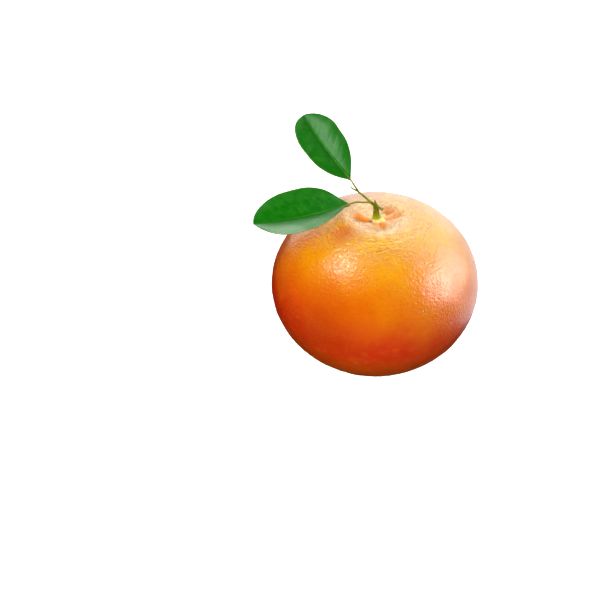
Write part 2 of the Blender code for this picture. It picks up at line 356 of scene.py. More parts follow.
# %% Round a cube into a ball and lay it on the profile
BALL_LEVELS = 7
CROWDING = 0.35  # draws the points together towards the stem, where the detail is

start_clean()
bpy.ops.mesh.primitive_cube_add(size=1)
fruit = bpy.context.object
apply_modifier(fruit, "SUBSURF", levels=BALL_LEVELS, render_levels=BALL_LEVELS)
bpy.ops.object.mode_set(mode="EDIT")
bpy.ops.mesh.select_all(action="SELECT")
bpy.ops.transform.tosphere(value=1)
bpy.ops.object.mode_set(mode="OBJECT")

ball = read_points(fruit)
ball /= np.linalg.norm(ball, axis=1, keepdims=True)
direction = np.arctan2(ball[:, 1], ball[:, 0])
polar = np.arccos(np.clip(ball[:, 2], -1, 1))
polar -= CROWDING * np.sin(polar)
upper = polar < np.pi / 2
radius = FRUIT_RADIUS * np.sin(polar)
height = MIDDLE + np.where(upper, UPPER_HEIGHT, LOWER_HEIGHT) * np.cos(polar)
rolled_in = SEAT_LEVEL + (height - SEAT_LEVEL) * smooth_step(SEAT_RADIUS, SHOULDER_RADIUS, radius)
height = np.where(upper, rolled_in, np.maximum(height, 0))
print("ball of", len(ball), "points on the fruit's profile")

# %% [markdown]
# ## Puckers round the stem
# Where the fruit hangs on its stem, the skin is gathered like the neck of a sack: furrows run outwards from
# the calyx and the skin between them is puffed up. Each furrow is a valley with its own direction, depth and
# reach, which curls near the stem and carries painted shade in a warmer orange. In its bottom a fine crease
# runs on a little further, with painted shade too.

# %% Sizes of the furrows
# Direction, bend and spread in degrees, depth and reach in mm, strength of the painted shade.
FURROWS = (
    (172, 24, 17, 1.8, 17.5, 1.3),
    (290, 10, 18, 1.1, 12.5, 1.1),
    (45, 4, 13, 1.2, 16.0, 1.2),
    (15, -14, 9, 1.4, 19.0, 0.7),
    (92, 16, 13, 0.3, 15.0, 0.3),
    (135, 16, 12, 0.4, 14.0, 0.35),
    (240, 16, 12, 0.3, 16.0, 0.3),
    (333, 16, 10, 0.5, 15.0, 0.4),
)
GATHER_RADIUS = 2.2 * MM
GATHER_WIDTH = 3.8 * MM
PUFF_HEIGHT = 0.8 * MM
PUFF_REACH = 20.0 * MM
FURROW_SHADE_START, FURROW_SHADE_FULL = 2.4 * MM, 4.2 * MM
CREASE_DEPTH = 0.2 * MM
CREASE_WIDTH = 0.55 * MM
CREASED_FURROW = 1.9 * MM  # a furrow of this depth has a crease of full depth
WANDER, WANDER_LENGTH = radians(5), 2.6 * MM
# Shares of a furrow's reach, and the last one of its crease's.
BEND_END = 0.7
FURROW_SHADE_FADE, FURROW_SHADE_END = 0.45, 0.9
CREASE_REACH, CREASE_FADE = 1.35, 0.6
print(len(FURROWS), "furrows")

# %% Press the furrows and creases into the profile
rise = smooth_step(GATHER_RADIUS, GATHER_RADIUS + GATHER_WIDTH, radius)
furrow_shade_rise = smooth_step(FURROW_SHADE_START, FURROW_SHADE_FULL, radius)
puff = PUFF_HEIGHT * rise * smooth_fall(PUFF_REACH / 2, PUFF_REACH, radius)
valley = np.zeros(len(ball))
furrow_shade = np.zeros(len(ball))
crease = np.zeros(len(ball))
for degrees, bend, spread, depth, reach, strength in FURROWS:
    depth, reach = depth * MM, reach * MM
    curl = radians(bend) * smooth_fall(GATHER_RADIUS, reach * BEND_END, radius)
    turn = turn_between(direction, radians(degrees) + curl)
    across = bell(turn, radians(spread))
    fade = rise * smooth_fall(reach / 2, reach, radius)
    valley += depth * across * fade
    # Painted shade along each furrow, strongest in the middle of its valley.
    furrow_shade_fade = furrow_shade_rise * smooth_fall(reach * FURROW_SHADE_FADE, reach * FURROW_SHADE_END, radius)
    furrow_shade += strength * np.sqrt(across) * furrow_shade_fade
    wander = WANDER * np.sin(radius / WANDER_LENGTH + degrees)
    line = bell(turn_between(turn, wander) * radius, CREASE_WIDTH)
    far = reach * CREASE_REACH
    crease += line * rise * smooth_fall(far * CREASE_FADE, far, radius) * depth / CREASED_FURROW
crease *= upper
height = np.where(upper, height + puff - valley, height)
print("deepest furrow", round(valley.max() / MM, 2), "mm")

# %% [markdown]
# The body is a little out of round, as anything that grew. One broad shallow hollow in the left shoulder
# catches the eye in the picture, because its slope turns away from the bright wall and shows a deep orange.

# %% Out of round, with a shallow hollow in the shoulder
HOLLOW_PLACE = (-17.5 * MM, -10.5 * MM)
HOLLOW_RADIUS = 6.5 * MM
HOLLOW_DEPTH = 1.2 * MM

out_of_round = OVAL * np.cos(2 * (direction - OVAL_DIRECTION))
out_of_round += TRIANGLE * np.cos(3 * (direction - TRIANGLE_DIRECTION))
radius = radius * (1 + out_of_round * smooth_step(SEAT_RADIUS, FRUIT_RADIUS, radius))
body = np.stack([radius * np.cos(direction), radius * np.sin(direction), height], axis=1)
from_hollow = np.hypot(body[:, 0] - HOLLOW_PLACE[0], body[:, 1] - HOLLOW_PLACE[1])
hollow = bell(from_hollow, HOLLOW_RADIUS) * upper
body[:, 2] -= HOLLOW_DEPTH * hollow
write_points(fruit, body)
print("fruit, in mm:", tenths(fruit.dimensions))

# %% [markdown]
# ## Pits and wrinkles
# A citrus skin is dotted with oil glands, and each shows as a shallow pit about a millimetre and a half from
# the next. Seeds spread over the ball by the golden angle, each nudged a little, give pits that are even but
# never in rows. Near the stem the skin is also finely wrinkled in rings, like the sleeve of a pushed-up
# jumper, and all over it are broad low lumps and a fine grain. All of this is pushed into the mesh along its
# normals, because no operator knows such a pattern, and the pits' depth is kept for the material.

# %% Pits of the oil glands
PIT_SPACING = 1.5 * MM
PIT_RADIUS = 0.46 * MM
PIT_DEPTH = 0.09 * MM
PIT_JITTER = 0.42
PIT_SIZES = (0.6, 1.25)
SKIN_SHARE = 0.86  # of a full ball's skin, because the fruit is flattened
GOLDEN_ANGLE = math.pi * (3 - math.sqrt(5))
SEED = 7


def on_ball(polar, turn):
    """Points of a ball of radius 1, from their angle to the stem and their direction round it."""
    return np.stack([np.sin(polar) * np.cos(turn), np.sin(polar) * np.sin(turn), np.cos(polar)], axis=1)


dice = np.random.default_rng(SEED)
pit_count = int(4 * math.pi * FRUIT_RADIUS**2 * SKIN_SHARE / PIT_SPACING**2)
steps = (np.arange(pit_count) + 0.5) / pit_count
pit_ball = on_ball(np.arccos(1 - 2 * steps), GOLDEN_ANGLE * np.arange(pit_count))
pit_ball += dice.normal(0, PIT_JITTER * PIT_SPACING / FRUIT_RADIUS, pit_ball.shape)
pit_size = dice.uniform(*PIT_SIZES, pit_count)

seeds = kdtree.KDTree(pit_count)
for index, seed in enumerate(pit_ball):
    seeds.insert(seed, index)
seeds.balance()
nearest = [seeds.find(spot)[1:] for spot in on_ball(polar, direction)]
own_size = pit_size[[index for index, distance in nearest]]
pit_distance = np.array([distance for index, distance in nearest]) * FRUIT_RADIUS
pit = bell(pit_distance, PIT_RADIUS * own_size) * own_size
print(pit_count, "pits")

# %% Wrinkles in rings round the stem
# Spacings, lengths and sizes, and the ranges in which wrinkles start and end, are in mm.
WRINKLE_SPACING = 1.8
WRINKLE_LENGTH = 4.2
WRINKLE_DEPTH = 0.18 * MM
WRINKLES_START, WRINKLES_END = (5.5, 10), (22, 44)
LUMP_SIZE = 9.0
LUMP_DEPTH = 0.22 * MM
GRAIN_SIZE = 1.25
GRAIN_DEPTH = 0.12 * MM
FLAT_FOOT = 0.8 * MM
FLAT_SEAT = (SEAT_RADIUS * 0.6, SEAT_RADIUS * 1.2)


def noise_in_mm(points, size):
    return np.array([noise.noise(Vector(point) / size) for point in points / MM])


from_stem = polar * FRUIT_RADIUS / MM
lumps = noise_in_mm(body, LUMP_SIZE)
ripples = np.array([
    noise.noise(Vector((x / WRINKLE_LENGTH, y / WRINKLE_LENGTH, ring / WRINKLE_SPACING + 2 * lump)))
    for (x, y), ring, lump in zip(body[:, :2] / MM, from_stem, lumps)
])
grains = noise_in_mm(body, GRAIN_SIZE)
at_back = smooth_step(0, 14 * MM, body[:, 1])
at_right = smooth_step(15 * MM, 40 * MM, body[:, 0])
ringed = smooth_step(*WRINKLES_START, from_stem) * smooth_fall(*WRINKLES_END, from_stem)
# The skin is calmer at the back and on the right, and most wrinkled in the hollow.
wrinkled = np.clip(ringed * (1 - 0.55 * at_back) + 0.9 * hollow, 0, 1)
relief = -PIT_DEPTH * pit * (1 - 0.3 * wrinkled)
# A wrinkle's fold runs where its noise passes through 0.
relief += WRINKLE_DEPTH * (1 + 0.8 * hollow) * wrinkled * (0.5 - 2.2 * np.abs(ripples))
relief += GRAIN_DEPTH * (1 - 0.5 * wrinkled) * (1 - 0.6 * at_back) * (1 - 0.55 * at_right) * grains
relief += LUMP_DEPTH * lumps - CREASE_DEPTH * crease
# The spot that the fruit rests on and the calyx's seat stay plain.
relief *= smooth_step(0, FLAT_FOOT, height)
relief *= smooth_step(*FLAT_SEAT, np.where(upper, radius, FRUIT_RADIUS))
body += read_points(fruit, "normal") * relief[:, None]
write_points(fruit, body)
print("relief from", round(relief.min() / MM, 2), "to", round(relief.max() / MM, 2), "mm")

# %% Keep what the material needs to know
PATCHES = {  # the middle and size of each soft patch of colour
    # A pink patch on the right, under the big highlight: partly the rind's own pink, partly painted shade.
    "blush_and_shade": (Vector((30 * MM, -31 * MM, 67 * MM)), 17 * MM),
    # Painted shade: a darker, redder patch at the lower left.
    "russet": (Vector((-27 * MM, -43 * MM, 52 * MM)), 18 * MM),
}
CREASE_SHADE = 0.4
LINES_START, LINES_END = (6, 9), (24, 42)
# A painted shadow under the calyx's left lobe: brown on the skin in that direction, near the seat.
CALYX_SHADOW_DIRECTION, CALYX_SHADOW_SPREAD = radians(203), radians(17)
CALYX_SHADOW_START, CALYX_SHADOW_END = 3.6 * MM, 6.0 * MM
SCAR_RADIUS = 3.2 * MM

under_calyx = bell(turn_between(direction, CALYX_SHADOW_DIRECTION), CALYX_SHADOW_SPREAD) * upper
kept = {name: bell(np.linalg.norm(body - middle, axis=1), size) for name, (middle, size) in PATCHES.items()}
kept |= {
    "pore": pit,
    # Where the painted shade of the furrows and creases lies.
    "furrow": np.clip(furrow_shade + CREASE_SHADE * crease, 0, 1),
    "lined": smooth_step(*LINES_START, from_stem) * smooth_fall(*LINES_END, from_stem),
    "from_stem": from_stem,
    "hollow": hollow,
    "calyx_shadow": under_calyx * smooth_fall(CALYX_SHADOW_START, CALYX_SHADOW_END, radius),
    "scar": np.where(upper, 0, bell(radius, SCAR_RADIUS)),
}
for name, values in kept.items():
    store(fruit, name, values)
fruit.data.shade_smooth()
print("stored", list(kept))

# %% [markdown]
# ## The rind's finish
# Ripe grapefruit skin goes from gold at the shoulders to deep orange further down and to the left, in soft
# clouds; the deep orange low on the left is partly painted shade. Round the stem the skin is cream, partly
# paler skin and partly painted sheen. This one has painted shade at the lower left, and a pink patch on the
# right that is partly the rind's own pink and partly painted shade. Furrows and hollow carry painted shade
# in orange, fine wrinkle lines carry painted shade in brown, and every pit is darker. Noise makes the clouds
# and the mottle, and numbers kept on the points place the other colours. Under a thin wax the light goes a
# little way into the skin, so it glows: that is the subsurface share. A bump of fine pores breaks the
# highlights up.

# %% Helpers for arithmetic and bumps
def maths(material, operation, first, second=0.0, third=0.0):
    return add_node(material, "Math", {0: first, 1: second, 2: third}, operation=operation).outputs[0]


def product(material, first, second):
    return maths(material, "MULTIPLY", first, second)


def apart(material, value, other):
    """How far two numbers are apart."""
    return maths(material, "ABSOLUTE", maths(material, "SUBTRACT", value, other))


def stepped(material, value, low, high, start=0.0, end=1.0):
    """Start up to low, end from high on, and a smooth rise between."""
    inputs = {"Value": value, "From Min": low, "From Max": high, "To Min": start, "To Max": end}
    return add_node(material, "MapRange", inputs, interpolation_type="SMOOTHSTEP").outputs["Result"]


def attribute(material, name):
    """A number that was stored on the mesh's points."""
    return add_node(material, "Attribute", {}, attribute_name=name).outputs["Fac"]


def bumped(material, height, strength, distance):
    """Normals tilted as if the surface rose by up to distance where height is 1."""
    inputs = {"Height": height, "Strength": strength, "Distance": distance}
    return add_node(material, "Bump", inputs).outputs["Normal"]


print("arithmetic ready")

# %% Colour of the rind
GOLD = colour(250, 182, 4)
DEEP_ORANGE_AND_SHADE = colour(220, 42, 0)
MOTTLE_ORANGE = colour(248, 124, 4)
PINK_BLUSH_AND_SHADE = colour(244, 122, 40)
LOWER_LEFT_SHADE_ORANGE = colour(193, 65, 0)
STEM_CREAM_AND_SHEEN = colour(255, 216, 164)
FURROW_SHADE_GOLD = colour(234, 158, 0)
FURROW_SHADE_ORANGE = colour(238, 136, 0)
HOLLOW_SHADE_ORANGE = colour(228, 118, 0)
# Lengths and levels are in mm.
DEEPER_TO_LEFT = 0.16
CLOUD_SIZE, CLOUD_HEIGHT = 16, 22
GOLD_LEVEL, ORANGE_LEVEL = 83, 39
RIPENING_AND_SHADE_CURVE = 0.6
PALER_BELOW = (4, 46)
MOTTLE_SIZE = 4.5
CREAM_AND_SHEEN_REACH = (9, 21)
FURROW_REACH = (9, 15)

rind = new_material("rind_wax")
spot = place_in_mm(rind)
along = add_node(rind, "SeparateXYZ", {"Vector": spot}).outputs
stem_distance = attribute(rind, "from_stem")
furrowed = attribute(rind, "furrow")
hollowed = attribute(rind, "hollow")

# Deeper orange downwards and to the left: partly the rind's own colour, partly painted shade low on the
# left.
depth = maths(rind, "MULTIPLY_ADD", along["X"], -DEEPER_TO_LEFT, product(rind, along["Z"], -1))
cloud = maths(rind, "SUBTRACT", noise_at(rind, spot, size=CLOUD_SIZE, detail=3), 0.5)
depth = maths(rind, "MULTIPLY_ADD", cloud, CLOUD_HEIGHT, depth)
levels = {"Value": depth, "From Min": -GOLD_LEVEL, "From Max": -ORANGE_LEVEL}
ripeness_and_shade = maths(rind, "POWER", add_node(rind, "MapRange", levels).outputs["Result"], RIPENING_AND_SHADE_CURVE)
ripeness_and_shade = product(rind, ripeness_and_shade, stepped(rind, along["Z"], *PALER_BELOW, 0.76, 1))
mottle = noise_at(rind, spot, size=MOTTLE_SIZE, detail=4, roughness=0.6)
skin = mixed(rind, ripeness_and_shade, GOLD, DEEP_ORANGE_AND_SHADE)
skin = mixed(rind, stepped(rind, mottle, 0.5, 0.75, 0, 0.3), skin, MOTTLE_ORANGE)
# The pink patch on the right: partly the rind's own pink, partly painted shade.
skin = mixed(rind, product(rind, attribute(rind, "blush_and_shade"), 0.5), skin, PINK_BLUSH_AND_SHADE)
# Painted shade at the lower left, in a dark red orange.
skin = mixed(rind, product(rind, attribute(rind, "russet"), 0.7), skin, LOWER_LEFT_SHADE_ORANGE)
# Cream round the stem: partly paler skin, partly painted sheen from the bright wall behind.
skin = mixed(rind, stepped(rind, stem_distance, *CREAM_AND_SHEEN_REACH, 0.78, 0), skin, STEM_CREAM_AND_SHEEN)
# Painted shade in the furrows: orange near the stem, gold further out.
in_furrow = mixed(rind, stepped(rind, stem_distance, *FURROW_REACH), FURROW_SHADE_ORANGE, FURROW_SHADE_GOLD)
skin = mixed(rind, furrowed, skin, in_furrow)
# Painted shade in the hollow of the left shoulder, in deep orange.
skin = mixed(rind, stepped(rind, hollowed, 0.1, 0.9, 0, 0.9), skin, HOLLOW_SHADE_ORANGE)
print("rind colour:", len(rind.node_tree.nodes), "nodes")

# %% Pores and wrinkle lines too fine for the mesh
PORE_AND_LINE_SHADE_BROWN = colour(188, 96, 0)
CALYX_SHADOW_BROWN = colour(112, 66, 20)
SCAR_BROWN = colour(150, 110, 62)
PORE_SPACING = 1.2
PORE_CLUSTER = 2.6
LINE_SPACING = 1.3
LINE_LENGTH = 4.5
LINE_WIDTH = 0.06

dots = add_node(rind, "TexVoronoi", {"Vector": spot, "Scale": 1 / PORE_SPACING, "Randomness": 0.9})
dot = stepped(rind, dots.outputs["Distance"], 0.05, 0.48, 1, 0)
dot = product(rind, dot, stepped(rind, noise_at(rind, spot, size=PORE_CLUSTER), 0.3, 0.6, 0.35, 1))
ring_place = add_node(rind, "CombineXYZ", {
    "X": product(rind, along["X"], 1 / LINE_LENGTH),
    "Y": product(rind, along["Y"], 1 / LINE_LENGTH),
    "Z": product(rind, stem_distance, 1 / LINE_SPACING),
})
from_line = apart(rind, noise_at(rind, ring_place.outputs["Vector"], size=1), 0.5)
line = product(rind, stepped(rind, from_line, 0.0, LINE_WIDTH, 1, 0), attribute(rind, "lined"))
# The pore dots are the glands' own colour; the dark wrinkle lines are painted shade in the fine folds.
dark = maths(rind, "MAXIMUM", product(rind, dot, 0.42), product(rind, line, 0.5))
dark = maths(rind, "MAXIMUM", dark, stepped(rind, attribute(rind, "pore"), 0.3, 1.1, 0, 0.18))
skin = mixed(rind, dark, skin, PORE_AND_LINE_SHADE_BROWN)
skin = mixed(rind, attribute(rind, "scar"), skin, SCAR_BROWN)
# The painted shadow under the calyx's left lobe, in brown.
skin = mixed(rind, attribute(rind, "calyx_shadow"), skin, CALYX_SHADOW_BROWN)
print("with pores and lines:", len(rind.node_tree.nodes), "nodes")

# %% Wax and glow
def hand_over(piece, node, material):
    """Dresses a piece and lets it stand for its solid."""
    piece.name = node + "_skin"
    piece.data.name = piece.name
    if material.name not in piece.data.materials:
        piece.data.materials.append(material)
    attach(piece, "root")
    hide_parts(node)
    sides = sum(len(face.vertices) - 2 for face in piece.data.polygons)
    print(piece.name, sides, "triangles, in mm:", tenths(piece.dimensions))


# The wax is duller round the stem, and thin in the furrows and the hollow.
WAX_ROUGHNESS = (0.28, 0.37)
DULL_REACH = (8, 17)
WAX_FULL, WAX_THIN = 0.7, 0.15

grain = noise_at(rind, spot, size=0.5, detail=2)
fine_relief = maths(rind, "MULTIPLY_ADD", dot, -0.9, product(rind, grain, 0.35))
fine_relief = maths(rind, "MULTIPLY_ADD", line, -1.1, fine_relief)
rind_normal = bumped(rind, fine_relief, strength=0.7, distance=0.17 * MM)
dullness = stepped(rind, mottle, 0.3, 0.7, *WAX_ROUGHNESS)
dullness = maths(rind, "ADD", dullness, stepped(rind, stem_distance, *DULL_REACH, 0.1, 0))
sunk = maths(rind, "MAXIMUM", furrowed, hollowed)
set_shader(rind, {
    "Base Color": skin,
    "Roughness": dullness,
    "Normal": rind_normal,
    "Coat Normal": rind_normal,
    "Subsurface Weight": 0.12,
    "Subsurface Radius": (1.0, 0.42, 0.12),
    "Subsurface Scale": 1.5 * MM,
    "Coat Weight": stepped(rind, sunk, 0.0, 1.0, WAX_FULL, WAX_THIN),
    "Coat Roughness": 0.23,
})
hand_over(fruit, "fruit", rind)

# %% [markdown]
# ## The calyx
# When a flower becomes a fruit, its green cup stays behind: a small star of five dry lobes with a raised
# collar round the stem. A half outline is drawn by extruding a single point, and Spin turns it round the
# stem's axis. Soft lobes and a crumpled rim are beyond an operator, so arithmetic moves the points for them.

# %% Turn an outline round the stem's axis
def turned(outline, steps):
    """Extrudes a point along an outline of (radius, height) and spins it once round Z."""
    start_clean()
    bpy.ops.mesh.primitive_plane_add(size=MM, location=(0, 0, 0))
    bpy.ops.object.mode_set(mode="EDIT")
    bpy.ops.mesh.select_all(action="SELECT")
    bpy.ops.mesh.merge(type="CENTER")
    points = [Vector((radius, 0, height)) for radius, height in outline]
    bpy.ops.transform.translate(value=points[0])
    for point, following in zip(points, points[1:]):
        bpy.ops.mesh.extrude_vertices_move(TRANSFORM_OT_translate={"value": following - point})
    bpy.ops.mesh.select_all(action="SELECT")
    bpy.ops.mesh.spin(steps=steps, angle=math.tau, center=(0, 0, 0), axis=(0, 0, 1))
    bpy.ops.mesh.select_all(action="SELECT")
    bpy.ops.mesh.remove_doubles(threshold=0.002 * MM)
    bpy.ops.mesh.normals_make_consistent(inside=False)
    bpy.ops.object.mode_set(mode="OBJECT")
    return bpy.context.object


print("turning helper ready")

# %% Shape the calyx
CALYX_RADIUS = 3.3 * MM
CALYX_THICKNESS = 0.7 * MM
COLLAR_RADIUS = 2.1 * MM
COLLAR_HEIGHT = 1.5 * MM
LOBES = (  # direction and spread in degrees, length and lift in mm
    (170, 19, 1.4, 0.8),
    (256, 38, 0.7, 0.15),
    (330, 17, 1.7, 0.0),
    (34, 20, 1.5, 0.9),
    (98, 22, 1.2, 0.8),
)
NOTCH_DIRECTION, NOTCH_SPREAD = radians(206), radians(15)
NOTCH_LENGTH = 1.1 * MM
LIP_HEIGHT = 0.45 * MM
CRUMPLE_SIZE = 0.9  # in mm
RIB_COUNT, RIB_HEIGHT = 26, 0.05 * MM

calyx_foot = SEAT_LEVEL + 0.1 * MM
flange = calyx_foot + CALYX_THICKNESS
collar = calyx_foot + COLLAR_HEIGHT
calyx = turned([
    (0, collar),
    (COLLAR_RADIUS * 0.8, collar),
    (COLLAR_RADIUS, collar - 0.25 * MM),
    (COLLAR_RADIUS * 1.12, flange + 0.15 * MM),
    (COLLAR_RADIUS * 1.3, flange - 0.05 * MM),
    (CALYX_RADIUS * 0.85, flange - 0.12 * MM),
    (CALYX_RADIUS * 0.97, flange - 0.25 * MM),
    (CALYX_RADIUS, (flange + calyx_foot) / 2),
    (CALYX_RADIUS * 0.96, calyx_foot + 0.1 * MM),
    (CALYX_RADIUS * 0.6, calyx_foot),
    (0, calyx_foot),
], steps=80)
apply_modifier(calyx, "SUBSURF", levels=2, render_levels=2)
print("calyx ring, in mm:", tenths(calyx.dimensions))

# %% Draw the lobes out and crumple the rim
points = read_points(calyx)
direction = np.arctan2(points[:, 1], points[:, 0])
radius = np.hypot(points[:, 0], points[:, 1])
outward = smooth_step(CALYX_RADIUS * 0.5, CALYX_RADIUS, radius)
stretch = np.zeros(len(points))
lift = np.zeros(len(points))
for degrees, spread, length, rise in LOBES:
    share = bell(turn_between(direction, radians(degrees)), radians(spread))
    stretch = np.maximum(stretch, length * MM * share)
    lift = np.maximum(lift, rise * MM * share)
crumple = noise_in_mm(points, CRUMPLE_SIZE)
notch = bell(turn_between(direction, NOTCH_DIRECTION), NOTCH_SPREAD)
stretch -= NOTCH_LENGTH * notch
points[:, :2] *= (1 + (stretch + 0.6 * MM * crumple) / CALYX_RADIUS * outward)[:, None]
points[:, 2] += (lift + LIP_HEIGHT + 0.3 * MM * crumple) * outward**2
ribs = np.sin(direction * RIB_COUNT + 3 * crumple) * RIB_HEIGHT * smooth_step(0, COLLAR_RADIUS, radius)
points += read_points(calyx, "normal") * ribs[:, None]
write_points(calyx, points)
store(calyx, "rim", smooth_step(CALYX_RADIUS * 0.5, CALYX_RADIUS * 0.9, radius))
store(calyx, "notch", outward * notch)
calyx.data.shade_smooth()
print(len(LOBES), "lobes")

# %% Colour of the calyx
CALYX_CREAM = colour(248, 230, 156)
CALYX_GREEN = colour(216, 208, 96)
CALYX_BROWN = colour(120, 84, 30)

husk = new_material("calyx_dry")
spot = place_in_mm(husk)
patches = stepped(husk, noise_at(husk, spot, size=1.2, detail=3), 0.35, 0.65, 0, 0.3)
greenish = maths(husk, "SUBTRACT", 1.0, attribute(husk, "rim"))
greenish = maths(husk, "MAXIMUM", greenish, patches)
tint = mixed(husk, greenish, CALYX_CREAM, CALYX_GREEN)
tint = mixed(husk, product(husk, attribute(husk, "notch"), 0.8), tint, CALYX_BROWN)
specks = stepped(husk, noise_at(husk, spot, size=0.35, detail=2), 0.64, 0.78, 0, 0.5)
tint = mixed(husk, specks, tint, CALYX_BROWN)
fibre = noise_at(husk, spot, size=0.25, detail=3)
set_shader(husk, {
    "Base Color": tint,
    "Roughness": stepped(husk, fibre, 0.2, 0.8, 0.5, 0.7),
    "Specular IOR Level": 0.25,
    "Normal": bumped(husk, fibre, strength=0.5, distance=0.1 * MM),
    "Subsurface Weight": 0.1,
    "Subsurface Scale": 0.8 * MM,
})
hand_over(calyx, "calyx", husk)

# %% [markdown]
# ## The stem
# The stub, its knot, the cut branch end, the bud and the twig are one woody piece. Each is drawn as a curve
# with a thickness at every point, turned into a mesh and joined. A voxel remesh then melts them into one
# skin, a smoothing pass rounds the joints, and fine ridges run up the bark.

# %% Draw the rods of the stem
def rod(points, radius, sizes, sides=6):
    """A round mesh rod along a smooth curve through the points, its radius times a size at each."""
    start_clean()
    bpy.ops.curve.primitive_bezier_curve_add(location=(0, 0, 0))
    curve = bpy.context.object
    spline = curve.data.splines[0]
    spline.bezier_points.add(len(points) - 2)
    spline.resolution_u = 8
    for control, point, size in zip(spline.bezier_points, points, sizes):
        control.co = point
        control.radius = radius * size / MM
        control.handle_left_type = control.handle_right_type = "AUTO"
    curve.data.bevel_depth = MM
    curve.data.bevel_resolution = sides
    curve.data.use_fill_caps = True
    bpy.ops.object.convert(target="MESH")
    return bpy.context.object


def in_mm(x, y, z):
    return Vector((x, y, z)) * MM


def between(start, end, shares):
    return [start.lerp(end, share) for share in shares]


STUB_FOOT = in_mm(-0.4, 0, 84.6)
KNOT = in_mm(-0.7, 0, 91.3)
BRANCH_END = in_mm(2.6, -1.9, 90.9)
FORK = in_mm(-9.4, 2.0, 98.8)
UPPER_JOINT = in_mm(-10.5, 2.4, 100.4)
SPUR_BEND = in_mm(-11.7, 2.4, 99.9)
SPUR_END = in_mm(-13.2, 2.6, 101.0)
BUD_TIP = in_mm(-1.4, 0, 95.0)
STUB_RADIUS = 1.3 * MM
KNOT_RADIUS = 1.4 * MM
TWIG_RADIUS = 0.5 * MM
SPUR_RADIUS = 0.36 * MM
BRANCH_RADIUS = 0.7 * MM
BUD_RADIUS = 0.8 * MM

stub_way = between(STUB_FOOT, KNOT, (0, 0.15, 0.4, 0.7, 1))
twig_way = between(KNOT, FORK, (0.02, 0.2, 0.45, 0.8, 1)) + [UPPER_JOINT]
rods = [
    rod(stub_way, STUB_RADIUS, (1.6, 1.42, 1.2, 1.02, 1.0), sides=10),
    rod(twig_way, TWIG_RADIUS, (2, 1.6, 1.15, 1, 1.1, 1.1)),
    rod([KNOT.lerp(FORK, 0.9), FORK, SPUR_BEND, SPUR_END], SPUR_RADIUS, (1.1, 1.2, 1, 1.1)),
    rod(between(KNOT, BRANCH_END, (-0.03, 0.6, 1)), BRANCH_RADIUS, (1.3, 1, 1.05)),
    rod(between(KNOT, BUD_TIP, (0.03, 0.55, 1)), BUD_RADIUS, (1, 0.9, 0.35)),
]
start_clean()
bpy.ops.mesh.primitive_uv_sphere_add(radius=KNOT_RADIUS, location=KNOT, scale=(1, 1, 0.8))
rods.append(bpy.context.object)
print(len(rods), "rods of the stem")

# %% Melt them into one piece and raise the bark
def joined(pieces):
    """Joins the pieces to the first of them."""
    start_clean()
    for piece in pieces:
        piece.select_set(True)
    bpy.context.view_layer.objects.active = pieces[0]
    bpy.ops.object.join()
    return pieces[0]


VOXEL_SIZE = 0.09 * MM
BARK_RIDGE = 0.33 * MM
BARK_LENGTH = 2.4 * MM
BARK_DEPTH = 0.10 * MM
TWIG_START, TWIG_FULL = 1.2 * MM, 2.6 * MM

stem = joined(rods)
bpy.ops.object.transform_apply(location=True, rotation=True, scale=True)
apply_modifier(stem, "REMESH", mode="VOXEL", voxel_size=VOXEL_SIZE)
apply_modifier(stem, "SMOOTH", factor=0.5, iterations=6)

# The ridges run up the stub, and along the twig where it has left the knot.
points = read_points(stem)
twig_axis = np.array((FORK - KNOT).normalized())
from_knot = points - np.array(KNOT)
on_twig = smooth_step(TWIG_START, TWIG_FULL, from_knot @ twig_axis)
upwards = np.array([0, 0, 1])
axis = upwards + (twig_axis - upwards) * on_twig[:, None]
axis /= np.linalg.norm(axis, axis=1, keepdims=True)
lengthwise = np.sum(from_knot * axis, axis=1, keepdims=True)
across = from_knot - axis * lengthwise
bark = np.array([
    noise.noise(Vector(side) / BARK_RIDGE + Vector(way) * (length / BARK_LENGTH))
    for side, way, length in zip(across, axis, lengthwise[:, 0])
])
points += read_points(stem, "normal") * (bark * BARK_DEPTH * (1 - 0.5 * on_twig))[:, None]
write_points(stem, points)
stem.data.shade_smooth()
print("stem", len(points), "points")

# %% Ages of the wood
BRANCH_FACE, BRANCH_REACH = (-0.35 * MM, -0.05 * MM), 1.6 * MM
SPUR_FACE, SPUR_REACH = (-0.5 * MM, 0), 1.2 * MM
KNOT_SPREAD = 1.9 * MM
FOOT_LEVELS = (84.5 * MM, 88.5 * MM)


def on_face(end, before, face, reach):
    """1 on the bare face at the end of a rod, 0 elsewhere."""
    from_end = points - np.array(end)
    beyond = from_end @ np.array((end - before).normalized())
    return np.where(np.linalg.norm(from_end, axis=1) < reach, smooth_step(*face, beyond), 0)


branch_face = on_face(BRANCH_END, KNOT, BRANCH_FACE, BRANCH_REACH)
store(stem, "cut", branch_face + on_face(SPUR_END, SPUR_BEND, SPUR_FACE, SPUR_REACH))
store(stem, "knot", bell(np.linalg.norm(from_knot, axis=1), KNOT_SPREAD))
store(stem, "foot", smooth_fall(*FOOT_LEVELS, points[:, 2]))
store(stem, "bark", bark)
print(int((branch_face > 0).sum()), "points on the cut face")

# %% Colour of the wood
BARK_OLIVE = colour(126, 126, 2)
BARK_YELLOW = colour(196, 192, 40)
BARK_DARK = colour(70, 80, 0)
CUT_WOOD = colour(112, 96, 40)

